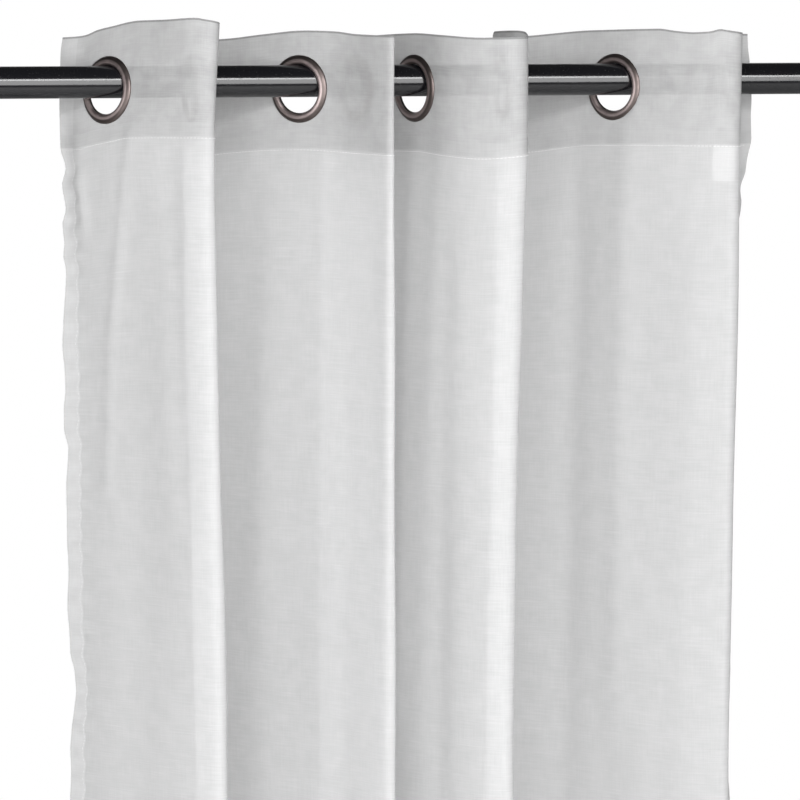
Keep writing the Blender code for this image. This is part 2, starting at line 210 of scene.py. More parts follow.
RIGHT_SCALLOPS = tuple(ScallopRow(*row) for row in (
    (-40, -2.0), (-28, -1.4), (-16, 0.0), (16, 1.5), (29, 0.9), (49, 1.4), (55, 0.6), (68, -0.6),
    (76, -0.4), (88, -2.4), (101, -0.2), (107, -0.7), (120, -2.8), (130, -2.3), (142, -3.1),
    (170, -3.5), (203, -4.8), (243, -3.8), (292, -3.6), (357, -2.8), (421, -1.1), (486, -0.7),
    (519, -1.4), (574, -2.4),
))


def run_and_away(turn: float) -> tuple[np.ndarray, np.ndarray]:
    """The way the cloth runs at an eyelet, and the way across it that leads away from the viewer.

    Args:
        turn: The way it runs, in degrees.

    Returns:
        The two ways in plan.
    """
    way = unit(np.array(turn))
    away = np.array((-way[1], way[0]))
    return way, away if away[1] > 0 else -away


def hermite(t: np.ndarray, start: np.ndarray, start_way: np.ndarray, end: np.ndarray,
            end_way: np.ndarray) -> np.ndarray:
    """Draws the cubic curve with given ends and given ways there.

    Args:
        t: Where the curve is read, from 0 to 1.
        start: Its first point or points.
        start_way: Its way and speed there.
        end: Its last point or points.
        end_way: Its way and speed there.

    Returns:
        The curve at each t.
    """
    return (
        (2 * t**3 - 3 * t**2 + 1) * start
        + (t**3 - 2 * t**2 + t) * start_way
        + (3 * t**2 - 2 * t**3) * end
        + (t**3 - t**2) * end_way
    )


def smooth(at: np.ndarray, places: Sequence[float], values: Sequence[float]) -> np.ndarray:
    """Draws a smooth curve through a few values, with no overshoot.

    Args:
        at: Where the curve is read.
        places: Where the values stand, rising.
        values: The value at each place.

    Returns:
        The curve's value at each point of at.
    """
    spots = np.asarray(places, float)
    levels = np.asarray(values, float)
    steps = np.diff(spots)
    slopes = np.diff(levels) / steps
    tangents = np.concatenate((slopes[:1], np.zeros(len(slopes) - 1), slopes[-1:]))
    for number in range(1, len(slopes)):
        before, after = slopes[number - 1], slopes[number]
        if before * after > 0:
            near = 2 * steps[number] + steps[number - 1]
            far = steps[number] + 2 * steps[number - 1]
            tangents[number] = (near + far) / (near / before + far / after)
    held = np.clip(at, spots[0], spots[-1])
    index = np.clip(np.searchsorted(spots, held, side="right") - 1, 0, len(steps) - 1)
    width = steps[index]
    t = (held - spots[index]) / width
    start, end = levels[index], levels[index + 1]
    return hermite(t, start, width * tangents[index], end, width * tangents[index + 1])


def ease(share: np.ndarray) -> np.ndarray:
    """Smooth step from 0 to 1."""
    held = np.clip(share, 0.0, 1.0)
    return held * held * (3 - 2 * held)


def unit(angles: np.ndarray) -> np.ndarray:
    """Unit vectors in plan for angles in degrees from +X towards +Y."""
    turned = np.radians(angles)
    return np.stack((np.cos(turned), np.sin(turned)), axis=-1)


def bow(start: np.ndarray, start_way: np.ndarray, end: np.ndarray, end_way: np.ndarray,
        fullness: float, steps: int) -> np.ndarray:
    """Draws one side of a fold in plan, at every height at once.

    Args:
        start: Where the side starts, a point for each height.
        start_way: The way the cloth runs there.
        end: Where the side ends.
        end_way: The way the cloth runs there.
        fullness: How round the side is.
        steps: How many points it has.

    Returns:
        The side's points, without its first.
    """
    t = (np.arange(1, steps + 1) / steps)[None, :, None]
    reach = fullness * np.linalg.norm(end - start, axis=-1)[:, None, None]
    return hermite(t, start[:, None], reach * start_way[:, None], end[:, None], reach * end_way[:, None])


@dataclass
class Hang:
    """The way the cloth hangs: one uneven wave that passes through the rod's line at each eyelet.

    Lengths are in metres, but the ripples' lengths and the hem waves' heights are in millimetres.
    """

    broad_steps: int = 40
    narrow_steps: int = 22
    run_steps: int = 8
    end_steps: int = 10
    solve_rounds: int = 26
    shallowest: float = 0.005
    deepest: float = 0.120
    narrow_fullness: float = 1.05
    fade_along: float = 0.030
    straight_edge: float = 0.022
    crease_fade: float = 0.15
    ripple: float = 0.0006
    ripple_wide: float = 23.0
    ripple_narrow: float = 11.0
    ripple_tall: float = 37.0
    ripple_narrow_share: float = 0.7
    ripple_tall_share: float = 0.5
    ripple_wander: float = 140.0
    ripple_swing: float = 1.3
    ripple_slant: float = 190.0
    ripple_phase: float = 2.0
    ripple_cross: float = 60.0
    ripple_quiet: float = 60.0
    pucker: float = 0.0012
    pucker_pitch: float = 0.0031
    pucker_wander: float = 0.047
    pucker_wander_swing: float = 1.5
    pucker_waver: float = 0.019
    pucker_waver_swing: float = 0.8
    pucker_right_phase: float = 1.9
    pucker_middle: float = 0.012
    pucker_width: float = 0.007
    hem_wave: float = 1.6
    hem_wave_pitch: float = 0.0072
    hem_sway: float = 1.2
    hem_sway_pitch: float = 0.0171
    hem_join: float = 0.05
    left_hem_phase: float = 0.4
    right_hem_phase: float = 2.1

    def fold_sides(self, fold: FoldRow, depth: np.ndarray, ends: Sequence[np.ndarray],
                   tip_x: np.ndarray) -> tuple[np.ndarray, np.ndarray]:
        """Draws the two sides of a fold.

        Args:
            fold: The fold's row.
            depth: How far its tip stands out from the rod's line at each height.
            ends: Start, way there, end and way there.
            tip_x: The tip's X at each height.

        Returns:
            The points of the first side and of the second.
        """
        start, start_way, end, end_way = ends
        tip = np.stack((tip_x, fold.side.value * depth), axis=-1)
        tip_way = np.broadcast_to((0.0, 1.0), tip.shape)
        front = fold.side is Side.FRONT
        first = (fold.fullness, self.broad_steps) if front else (self.narrow_fullness, self.narrow_steps)
        second = (self.narrow_fullness, self.narrow_steps) if front else (fold.fullness, self.broad_steps)
        return (
            bow(start, start_way, tip, tip_way, *first),
            bow(tip, tip_way, end, end_way, *second),
        )

    def fold_points(self, fold: FoldRow, ends: Sequence[np.ndarray], tip_x: np.ndarray,
                    length: np.ndarray) -> list[np.ndarray]:
        """Finds the fold that uses up the cloth between two eyelets.

        Args:
            fold: The fold's row.
            ends: Start, way there, end and way there.
            tip_x: The tip's X at each height.
            length: The length of cloth in the fold at each height.

        Returns:
            The points of its two sides.
        """
        low = np.full(len(tip_x), self.shallowest)
        high = np.full(len(tip_x), self.deepest)
        for _ in range(self.solve_rounds):
            middle = (low + high) / 2
            sides = self.fold_sides(fold, middle, ends, tip_x)
            line = np.concatenate((ends[0][:, None], *sides), axis=1)
            walked = np.linalg.norm(np.diff(line, axis=1), axis=-1).sum(axis=1)
            low = np.where(walked < length, middle, low)
            high = np.where(walked < length, high, middle)
        return list(self.fold_sides(fold, (low + high) / 2, ends, tip_x))

    def end_points(self, start: np.ndarray, way: np.ndarray, curl: Sequence[float],
                   reach: np.ndarray, drops: np.ndarray, sign: int) -> np.ndarray:
        """Draws a free end, from the flat stretch out to the hemmed edge.

        Args:
            start: Where the flat stretch ends.
            way: The way the cloth runs there.
            curl: How far the end turns at the heading, the neck and the hem, in degrees.
            reach: The length of cloth in the end at each height.
            drops: The heights below the rod's axis.
            sign: -1 for the left end and 1 for the right one.

        Returns:
            The end's points, from its start outwards.
        """
        turn = np.radians(np.interp(drops, (SEAM_DROP, NECK_DROP, HEM_DROP), curl))
        angle = np.arctan2(way[:, 1], way[:, 0])
        turned = np.stack((np.cos(angle + turn), np.sin(angle + turn)), axis=-1)
        chord = (way + turned) / np.linalg.norm(way + turned, axis=-1)[:, None]
        share = (np.arange(1, self.end_steps + 1) / self.end_steps)[None, :, None]
        normal = np.stack((-way[:, 1], way[:, 0]), axis=-1)
        bend = share * (1 - share) * (reach * np.tan(turn / 2) * -sign)[:, None, None]
        return start[:, None] + share * sign * (reach[:, None] * chord)[:, None] + bend * normal[:, None]

    def plan(self, alongs: np.ndarray, drops: np.ndarray) -> np.ndarray:
        """Places of the cloth in plan.

        Args:
            alongs: Distances along the flat cloth, from its left edge.
            drops: Heights below the rod's axis.

        Returns:
            An X and Y for each height and distance.
        """
        run = np.interp(drops, (SEAM_DROP, LOW_DROP), (RUN_HEAD, RUN_LOW))
        lower = (SEAM_DROP, NECK_DROP, LOW_DROP, HEM_DROP)
        ways, spots = [], []
        for row in EYELETS:
            ways.append(unit(np.interp(drops, (SEAM_DROP, HEM_DROP), (row.turn_head, row.turn_hem))))
            x = smooth(drops, lower, (row.x_head, row.x_neck, row.x_low, row.x_hem)) * MM
            spots.append(np.stack((x, np.zeros_like(x)), axis=-1))
        reach = END_MARGIN - run
        start = spots[0] - run[:, None] * ways[0]
        left = self.end_points(start, ways[0], LEFT_CURL, reach, drops, -1)
        line = [left[:, ::-1]]
        for number, (spot, way) in enumerate(zip(spots, ways)):
            share = np.linspace(-1.0, 1.0, self.run_steps + 1)[None, :, None]
            line.append(spot[:, None] + share * (run[:, None] * way)[:, None])
            if number == len(FOLDS):
                break
            fold = FOLDS[number]
            levels = (TOP_DROP, *lower)
            tip_x = smooth(drops, levels, (fold.x_top, fold.x_seam, fold.x_neck, fold.x_low, fold.x_hem)) * MM
            after, after_way = spots[number + 1], ways[number + 1]
            ends = (spot + run[:, None] * way, way, after - run[:, None] * after_way, after_way)
            sides = self.fold_points(fold, ends, tip_x, EYELET_PITCH - 2 * run)
            line += [sides[0], sides[1][:, :-1]]
        last = spots[-1] + run[:, None] * ways[-1]
        line.append(self.end_points(last, ways[-1], RIGHT_CURL, reach, drops, 1))
        dense = np.concatenate(line, axis=1)
        steps = np.linalg.norm(np.diff(dense, axis=1), axis=-1)
        walked = np.concatenate((np.zeros((len(drops), 1)), np.cumsum(steps, axis=1)), axis=1)
        walked *= FLAT_WIDTH / walked[:, -1:]
        places = np.empty((len(drops), len(alongs), 2))
        for number in range(len(drops)):
            for axis in range(2):
                places[number, :, axis] = np.interp(alongs, walked[number], dense[number, :, axis])
        return places

    def leans(self, alongs: np.ndarray) -> np.ndarray:
        """Sideways shift in plan for each metre of height above the eyelets.

        Args:
            alongs: Distances along the flat cloth.

        Returns:
            An X and Y for each distance.
        """
        total = np.zeros((len(alongs), 2))
        for number, row in enumerate(EYELETS):
            _, away = run_and_away(row.turn_head)
            distance = np.abs(alongs - (END_MARGIN + number * EYELET_PITCH))
            near = 1 - ease((distance - RUN_HEAD) / (EYELET_PITCH / 2 - RUN_HEAD))
            total += near[:, None] * math.tan(math.radians(row.lean)) * away
        to_edge = np.minimum(alongs, FLAT_WIDTH - alongs)
        return total * ease(to_edge / self.straight_edge)[:, None]

    def lift(self, alongs: np.ndarray, edge: str) -> np.ndarray:
        """How far the heading's top edge or seam stands above its level."""
        places = [row.along * MM for row in EDGES]
        return MM * smooth(alongs, places, [getattr(row, edge) for row in EDGES])

    def pressed(self, alongs: np.ndarray, drops: np.ndarray) -> np.ndarray:
        """How far creases, small ripples and puckers stand off the cloth, for each height and distance.

        Args:
            alongs: Distances along the flat cloth.
            drops: Heights below the rod's axis.

        Returns:
            The offset along the cloth's normal.
        """
        u = alongs[None, :] / MM
        v = drops[:, None] / MM
        total = np.zeros((len(drops), len(alongs)))
        for row in CREASES:
            start = np.array((row.along_top, row.drop_top))
            line = np.array((row.along_foot, row.drop_foot)) - start
            length = np.hypot(*line)
            share = ((u - start[0]) * line[0] + (v - start[1]) * line[1]) / length**2
            off = ((u - start[0]) * line[1] - (v - start[1]) * line[0]) / length
            fade = self.crease_fade
            ends = ease((share + fade) / (2 * fade)) * ease((1 + fade - share) / (2 * fade))
            total += row.depth * MM * ends * np.exp(-((off / row.width) ** 2))
        narrow = u / self.ripple_narrow + v / self.ripple_slant + self.ripple_phase
        waves = (
            np.sin(u / self.ripple_wide + self.ripple_swing * np.sin(v / self.ripple_wander))
            + self.ripple_narrow_share * np.sin(narrow)
            + self.ripple_tall_share * np.sin(v / self.ripple_tall + u / self.ripple_cross)
        )
        quiet = ease((v - SEAM_DROP / MM) / self.ripple_quiet)
        below = ease((drops[:, None] - SEAM_DROP) / self.fade_along)
        return total + self.ripple * waves * quiet + self.puckered(alongs, drops) * below

    def puckered(self, alongs: np.ndarray, drops: np.ndarray) -> np.ndarray:
        """How far the side hems' stitching pulls them into small uneven bumps.

        Args:
            alongs: Distances along the flat cloth.
            drops: Heights below the rod's axis.

        Returns:
            The offset for each height and distance.
        """
        wander = self.pucker_wander_swing * np.sin(drops / self.pucker_wander)
        waver = self.pucker_waver_swing * np.sin(drops / self.pucker_waver)
        turns = drops / self.pucker_pitch + wander + waver
        total = np.zeros((len(drops), len(alongs)))
        for inward, phase in ((alongs, 0.0), (FLAT_WIDTH - alongs, self.pucker_right_phase)):
            share = np.exp(-(((inward - self.pucker_middle) / self.pucker_width) ** 2))
            total += np.sin(turns + phase)[:, None] * share[None]
        return self.pucker * total

    def hem_out(self, drops: np.ndarray, rows: Sequence[ScallopRow], phase: float) -> np.ndarray:
        """How far a side hem stands out at each height: by its table, and below it in even small waves.

        Args:
            drops: Heights below the rod's axis.
            rows: The hem's table.
            phase: Where the small waves start.

        Returns:
            The distance for each height.
        """
        shown = smooth(drops, [row.drop * MM for row in rows], [row.out for row in rows])
        waves = self.hem_wave * np.sin(drops / self.hem_wave_pitch + phase)
        sway = self.hem_sway * np.sin(drops / self.hem_sway_pitch + 2 * phase)
        share = ease((drops - LOW_DROP) / self.hem_join)
        below = waves + sway
        return MM * (shown * (1 - share) + below * share)

    def surface(self, alongs: np.ndarray, drops: np.ndarray, heights: np.ndarray) -> np.ndarray:
        """Hangs a piece of flat cloth.

        Args:
            alongs: Distances along the flat cloth.
            drops: Heights below the rod's axis at which the wave is read.
            heights: The true height of each point, for each drop and distance.

        Returns:
            A point for each drop and distance.
        """
        places = self.plan(alongs, drops)
        above = np.maximum(heights + EYELET_DROP, -HEADING_BELOW)
        fade = np.interp(drops, (SEAM_DROP, LEAN_FADE_DROP), (1.0, 0.0))[:, None]
        places = places + self.leans(alongs)[None] * (above * fade)[..., None]
        tangent = np.gradient(places, axis=1)
        tangent /= np.linalg.norm(tangent, axis=-1)[..., None]
        normal = np.stack((tangent[..., 1], -tangent[..., 0]), axis=-1)
        places = places + normal * self.pressed(alongs, drops)[..., None]
        left_share = 1 - ease(alongs / self.fade_along)
        left = left_share[None] * self.hem_out(drops, LEFT_SCALLOPS, self.left_hem_phase)[:, None]
        right_share = 1 - ease((FLAT_WIDTH - alongs) / self.fade_along)
        right = right_share[None] * self.hem_out(drops, RIGHT_SCALLOPS, self.right_hem_phase)[:, None]
        places = places - tangent * left[..., None]
        places[..., 0] += right
        return np.concatenate((places, heights[..., None]), axis=-1)


class Tree:
    """Adds and joins the nodes of a material, a node group or the world."""

    def __init__(self, tree: NodeTree) -> None:
        """Takes the node tree that the nodes go into."""
        self.tree = tree

    def add(self, kind: str, values: dict | None = None, **settings: object) -> bpy.types.Node:
        """Adds a node.

        Args:
            kind: The node's type.
            values: Its inputs by name or number. A socket is joined, and anything else is set.
            settings: The node's own settings.

        Returns:
            The new node.
        """
        node = self.tree.nodes.new(kind)
        for name, value in settings.items():
            setattr(node, name, value)
        for name, value in (values or {}).items():
            socket = node.inputs[name]
            if isinstance(value, Socket):
                self.tree.links.new(value, socket)
            else:
                socket.default_value = value
        return node

    def give(self, values: dict[str, Socket]) -> None:
        """Joins a group's results to its outputs."""
        for label, value in values.items():
            self.tree.links.new(value, self.tree.nodes["Group Output"].inputs[label])

    def math(self, operation: str, first: object, second: object = 0.0, third: object = 0.0) -> Socket:
        """Adds a Math node and returns its output."""
        values = {0: first, 1: second, 2: third}
        return self.add("ShaderNodeMath", values, operation=operation).outputs[0]

    def spread(self, value: Socket, low: float, high: float, to_low: float = 0.0,
               to_high: float = 1.0) -> Socket:
        """Adds a clamped Map Range node with a smooth step.

        Args:
            value: What it reads.
            low: The value that gives to_low.
            high: The value that gives to_high.
            to_low: Its result at low and below.
            to_high: Its result at high and above.

        Returns:
            Its output.
        """
        values = {"Value": value, "From Min": low, "From Max": high, "To Min": to_low, "To Max": to_high}
        made = self.add("ShaderNodeMapRange", values, interpolation_type="SMOOTHSTEP")
        return made.outputs["Result"]

    def noise(self, vector: Socket, scale: Triple, detail: float = 2.0) -> Socket:
        """Adds a Noise Texture.

        Args:
            vector: Where it is read.
            scale: How fine it is along each axis.
            detail: Its octaves.

        Returns:
            Its value.
        """
        stretched = self.add("ShaderNodeVectorMath", {0: vector, 1: scale}, operation="MULTIPLY")
        values = {"Vector": stretched.outputs[0], "Scale": 1.0, "Detail": detail}
        return self.add("ShaderNodeTexNoise", values).outputs[0]

    def blend(self, share: object, first: object, second: object) -> Socket:
        """Adds a colour Mix node and returns its output."""
        return self.add("ShaderNodeMix", {0: share, 6: first, 7: second}, data_type="RGBA").outputs[2]


def grey(value: float) -> tuple[float, float, float, float]:
    """A neutral grey colour."""
    return (value, value, value, 1.0)


def new_material(name: str) -> tuple[bpy.types.Material, Tree]:
    """Makes a material with no nodes yet.

    Args:
        name: Its name.

    Returns:
        The material and its tree.
    """
    made = bpy.data.materials.new(name)
    made.use_nodes = True
    made.node_tree.nodes.clear()
    return made, Tree(made.node_tree)


def add_marks(tree: Tree, wear: NodeTree) -> bpy.types.Node:
    """Adds the wear group, which reads the place in the object's metres."""
    place = tree.add("ShaderNodeTexCoord").outputs["Object"]
    return tree.add("ShaderNodeGroup", {"Place": place}, node_tree=wear)


def new_group(name: str, inputs: dict[str, str], outputs: dict[str, str]) -> NodeTree:
    """Makes an empty shader node group.

    Args:
        name: The group's name.
        inputs: Socket types by name.
        outputs: Socket types by name.

    Returns:
        The group, with its input and output nodes in place.
    """
    group = bpy.data.node_groups.new(name, "ShaderNodeTree")
    for label, kind in inputs.items():
        group.interface.new_socket(label, in_out="INPUT", socket_type=kind)
    for label, kind in outputs.items():
        group.interface.new_socket(label, in_out="OUTPUT", socket_type=kind)
    group.nodes.new("NodeGroupInput")
    group.nodes.new("NodeGroupOutput")
    return group


@dataclass
class WeaveGroup:
    """The voile's plain weave: fine threads both ways, thicker slub threads across, and soft mottling."""

    warp: Triple = (1150.0, 40.0, 0.0)
    weft: Triple = (38.0, 1150.0, 0.0)
    slub: Triple = (26.0, 620.0, 0.0)
    mottle: Triple = (60.0, 60.0, 0.0)
    thread_range: tuple[float, float] = (0.32, 0.68)
    slub_range: tuple[float, float] = (0.60, 0.74)
    mottle_range: tuple[float, float] = (0.35, 0.65)
    weft_share: float = 0.6

    def build(self) -> NodeTree:
        """Builds the group. Its place is the flat cloth's own, in metres.

        Returns:
            The group.
        """
        group = new_group(
            "voile_weave", {"Place": "NodeSocketVector"},
            {"Thread": "NodeSocketFloat", "Slub": "NodeSocketFloat", "Mottle": "NodeSocketFloat"},
        )
        tree = Tree(group)
        place = group.nodes["Group Input"].outputs["Place"]
        warp = tree.spread(tree.noise(place, self.warp), *self.thread_range)
        weft = tree.spread(tree.noise(place, self.weft), *self.thread_range)
        across = tree.math("MULTIPLY", warp, 1 - self.weft_share)
        thread = tree.math("MULTIPLY_ADD", weft, self.weft_share, across)
        slub = tree.spread(tree.noise(place, self.slub, 1.0), *self.slub_range)
        mottle = tree.spread(tree.noise(place, self.mottle, 3.0), *self.mottle_range)
        tree.give({"Thread": thread, "Slub": slub, "Mottle": mottle})
        return group


@dataclass(frozen=True)
class VoileFinish:
    """Sheer voile: a plain weave that lets light and what is behind it through."""

    name: str
    tone: float
    density: float
    thread_tone: float
    thread_density: float
    slub_tone: float
    mottle_density: float
    glow: float
    roughness: float = 0.9
    shine: float = 0.2
    coolness: float = 1.004
    slub_density: float = 0.035
    slub_height: float = 0.6
    bump: float = 0.15
    bump_height: float = 0.0002

    def build(self, weave: NodeTree,
              zones: Callable[[Tree, Socket], tuple[Socket, Socket]]) -> bpy.types.Material:
        """Builds the material.

        Args:
            weave: The weave's node group.
            zones: Given the tree and the cloth's place, adds what hems and seams change, and returns
                how much denser and how much darker each spot is.

        Returns:
            The material.
        """
        made, tree = new_material(self.name)
        place = tree.add("ShaderNodeUVMap", uv_map="flat").outputs["UV"]
        threads = tree.add("ShaderNodeGroup", {"Place": place}, node_tree=weave)
        thread, slub, mottle = (threads.outputs[label] for label in ("Thread", "Slub", "Mottle"))
        denser, darker = zones(tree, place)
        light = tree.math("MULTIPLY_ADD", thread, self.thread_tone, self.tone - self.thread_tone / 2)
        light = tree.math("MULTIPLY_ADD", slub, -self.slub_tone, light)
        light = tree.math("MULTIPLY", light, tree.math("SUBTRACT", 1.0, darker))
        cool = tree.math("MULTIPLY", light, self.coolness)
        colour = tree.add("ShaderNodeCombineColor", {0: light, 1: light, 2: cool})
        least = self.density - self.thread_density / 2
        dense = tree.math("MULTIPLY_ADD", thread, self.thread_density, least)
        dense = tree.math("MULTIPLY_ADD", tree.math("SUBTRACT", mottle, 0.5), self.mottle_density, dense)
        dense = tree.math("MULTIPLY_ADD", slub, self.slub_density, dense)
        clear = tree.math("MULTIPLY", tree.math("SUBTRACT", 1.0, dense), tree.math("SUBTRACT", 1.0, denser))
        cover = tree.add("ShaderNodeMath", {0: 1.0, 1: clear}, operation="SUBTRACT", use_clamp=True)
        height = tree.math("MULTIPLY_ADD", slub, self.slub_height, thread)
        bump = tree.add("ShaderNodeBump", {
            "Strength": self.bump, "Distance": self.bump_height, "Height": height,
        })
        cloth = tree.add("ShaderNodeBsdfPrincipled", {
            "Base Color": colour.outputs[0], "Roughness": self.roughness, "Specular IOR Level": self.shine,
            "Normal": bump.outputs[0],
        })
        glow = tree.add("ShaderNodeBsdfTranslucent", {"Color": colour.outputs[0]})
        both = tree.add("ShaderNodeMixShader", {0: self.glow, 1: cloth.outputs[0], 2: glow.outputs[0]})
        holes = tree.add("ShaderNodeBsdfTransparent")
        sheer = tree.add("ShaderNodeMixShader", {
            0: cover.outputs[0], 1: holes.outputs[0], 2: both.outputs[0],
        })
        tree.add("ShaderNodeOutputMaterial", {"Surface": sheer.outputs[0]})
        return made


@dataclass
class WearGroup:
    """Fine handling marks on metal: faint long streaks and small dull specks."""

    streaks: Triple = (14.0, 420.0, 420.0)
    streak_range: tuple[float, float] = (0.35, 0.65)
    specks: Triple = (900.0, 900.0, 900.0)
    speck_range: tuple[float, float] = (0.70, 0.80)

    def build(self) -> NodeTree:
        """Builds the group. Its place is in the object's metres.

        Returns:
            The group.
        """
        group = new_group(
            "metal_wear", {"Place": "NodeSocketVector"},
            {"Streak": "NodeSocketFloat", "Speck": "NodeSocketFloat"},
        )
        tree = Tree(group)
        place = group.nodes["Group Input"].outputs["Place"]
        streak = tree.spread(tree.noise(place, self.streaks), *self.streak_range)
        speck = tree.spread(tree.noise(place, self.specks, 0.0), *self.speck_range)
        tree.give({"Streak": streak, "Speck": speck})
        return group


@dataclass(frozen=True)
class PlainFinish:
    """One even colour with faint streaks and dull specks, for lacquer and thread."""

    name: str
    colour: Triple
    worn_colour: Triple
    roughness: float
    roughness_spread: float
    speck_roughness: float = 0.15

    def build(self, wear: NodeTree) -> bpy.types.Material:
        """Builds the material.

        Args:
            wear: The wear's node group.

        Returns:
            The material.
        """
        made, tree = new_material(self.name)
        marks = add_marks(tree, wear)
        colour = tree.blend(marks.outputs["Speck"], (*self.colour, 1.0), (*self.worn_colour, 1.0))
        rough = tree.math("MULTIPLY_ADD", marks.outputs["Streak"], self.roughness_spread, self.roughness)
        rough = tree.math("MULTIPLY_ADD", marks.outputs["Speck"], self.speck_roughness, rough)
        shader = tree.add("ShaderNodeBsdfPrincipled", {"Base Color": colour, "Roughness": rough})
        tree.add("ShaderNodeOutputMaterial", {"Surface": shader.outputs[0]})
        return made


@dataclass(frozen=True)
class PaintedLightPlatingFinish:
    """Dark plating, with a painted highlight along the crown of a ring, painted shade on its outer rim and
    painted black shade inside its lip.
    """

    name: str
    rim_shade_colour: Triple
    crown_highlight_colour: Triple
    lip_shade_colour: Triple
    roughness: float
    rim_from: float = 0.50
    lip_shade_to: float = 0.12
    soft: float = 0.10

    def build(self, wear: NodeTree) -> bpy.types.Material:
        """Builds the material. The ring's own "across" says how far a spot is from lip to rim.

        Args:
            wear: The wear's node group.

        Returns:
            The material.
        """
        made, tree = new_material(self.name)
        marks = add_marks(tree, wear)
        across = tree.add("ShaderNodeAttribute", attribute_name="across").outputs["Fac"]
        # Painted light: the outer rim gets painted shade, the crown a painted highlight, and the inside of
        # the lip painted black shade.
        to_rim_shade = tree.spread(across, self.rim_from, self.rim_from + 2 * self.soft)
        to_lip_shade = tree.spread(across, self.lip_shade_to - self.soft, self.lip_shade_to, 1.0, 0.0)
        face = tree.blend(to_rim_shade, (*self.crown_highlight_colour, 1.0), (*self.rim_shade_colour, 1.0))
        colour = tree.blend(to_lip_shade, face, (*self.lip_shade_colour, 1.0))
        rough = tree.math("MULTIPLY_ADD", marks.outputs["Streak"], self.soft, self.roughness)
        shader = tree.add("ShaderNodeBsdfPrincipled", {
            "Base Color": colour, "Metallic": 1.0, "Roughness": rough,
        })
        tree.add("ShaderNodeOutputMaterial", {"Surface": shader.outputs[0]})
        return made


SINGLE_VOILE = VoileFinish(
    "sheer_voile", tone=0.69, density=0.59, thread_tone=0.03, thread_density=0.04,
    slub_tone=0.01, mottle_density=0.03, glow=0.35,
)
# The doubled strip's tone is set well below the single voile's: this darkness is painted shade on the
# heading.
SHADED_DOUBLE_VOILE = VoileFinish(
    "double_voile_painted_shade", tone=0.495, density=0.72, thread_tone=0.04, thread_density=0.04,
    slub_tone=0.01, mottle_density=0.09, glow=0.30,
)
TAPE = VoileFinish(
    "tape", tone=0.47, density=0.90, thread_tone=0.02, thread_density=0.02,
    slub_tone=0.0, mottle_density=0.0, glow=0.20,
)
# Ring finish with a painted highlight on the crown and painted shade on the rim and inside the lip.
PLATING = PaintedLightPlatingFinish(
    "dark_plating_painted_light", rim_shade_colour=(0.10, 0.082, 0.078), crown_highlight_colour=(0.48, 0.40, 0.39),
    lip_shade_colour=(0.02, 0.016, 0.016), roughness=0.36,
)
LACQUER = PlainFinish(
    "black_lacquer", colour=(0.004, 0.004, 0.005), worn_colour=(0.01, 0.01, 0.01),
    roughness=0.13, roughness_spread=0.03,
)
WHITE_THREAD = PlainFinish(
    "white_thread", colour=(0.72, 0.72, 0.72), worn_colour=(0.7, 0.7, 0.7),
    roughness=0.7, roughness_spread=0.1,
)


def band(tree: Tree, value: Socket, low: float, high: float, soft: float) -> Socket:
    """A mask that is 1 between low and high, with soft edges.

    Args:
        tree: The tree that the nodes go into.
        value: What it reads.
        low: Where it starts.
        high: Where it ends.
        soft: Half the width of its edges.

    Returns:
        The mask.
    """
    rise = tree.spread(value, low - soft, low + soft)
    fall = tree.spread(value, high - soft, high + soft, 1.0, 0.0)
    return tree.math("MULTIPLY", rise, fall)


def both_sides(tree: Tree, along: Socket, width: float, soft: float) -> Socket:
    """A mask that is 1 within a width of the cloth's left and right edges.

    Args:
        tree: The tree that the nodes go into.
        along: The distance along the flat cloth.
        width: How far in it reaches.
        soft: Half the width of its edge.

    Returns:
        The mask.
    """
    left = band(tree, along, -PAST_EDGE, width, soft)
    right = band(tree, along, FLAT_WIDTH - width, FLAT_WIDTH + PAST_EDGE, soft)
    return tree.math("MAXIMUM", left, right)


def place_parts(tree: Tree, place: Socket) -> tuple[Socket, Socket]:
    """The distance along and down the flat cloth."""
    parts = tree.add("ShaderNodeSeparateXYZ", {0: place})
    return parts.outputs[0], parts.outputs[1]


def finish_piece(name: str, shape: BMesh, material: bpy.types.Material) -> bpy.types.Object:
    """Turns a shape into a smooth piece of the scene at the origin.

    Args:
        name: The piece's name.
        shape: Its shape, which is freed.
        material: Its finish.

    Returns:
        The new object.
    """
    mesh = bpy.data.meshes.new(name)
    shape.to_mesh(mesh)
    shape.free()
    mesh.shade_smooth()
    mesh.materials.append(material)
    piece = bpy.data.objects.new(name, mesh)
    bpy.context.scene.collection.objects.link(piece)
    return piece


@dataclass
class FlatCloth:
    """A rectangle of cloth that is cut as a flat grid and then hung."""

    name: str
    alongs: np.ndarray
    downs: np.ndarray

    def cut(self) -> BMesh:
        """Cuts the flat grid. Its UV map holds the distance along and down the flat cloth, in metres.

        Returns:
            The grid, with each vertex at its column and row.
        """
        shape = bmesh.new()
        columns, rows = len(self.alongs) - 1, len(self.downs) - 1
        bmesh.ops.create_grid(shape, x_segments=columns, y_segments=rows, size=0.5)
        flat = shape.loops.layers.uv.new("flat")
        for vert in shape.verts:
            column = round((vert.co.x + 0.5) * columns)
            row = round((0.5 - vert.co.y) * rows)
            vert.co = Vector((column, row, 0.0))
        for face in shape.faces:
            for loop in face.loops:
                spot = loop.vert.co
                loop[flat].uv = (self.alongs[int(spot.x)], self.downs[int(spot.y)])
        return shape

    def hang(self, shape: BMesh, points: np.ndarray) -> None:
        """Moves every point of the flat grid to its hanging place."""
        for vert in shape.verts:
            vert.co = Vector(points[int(vert.co.y), int(vert.co.x)])


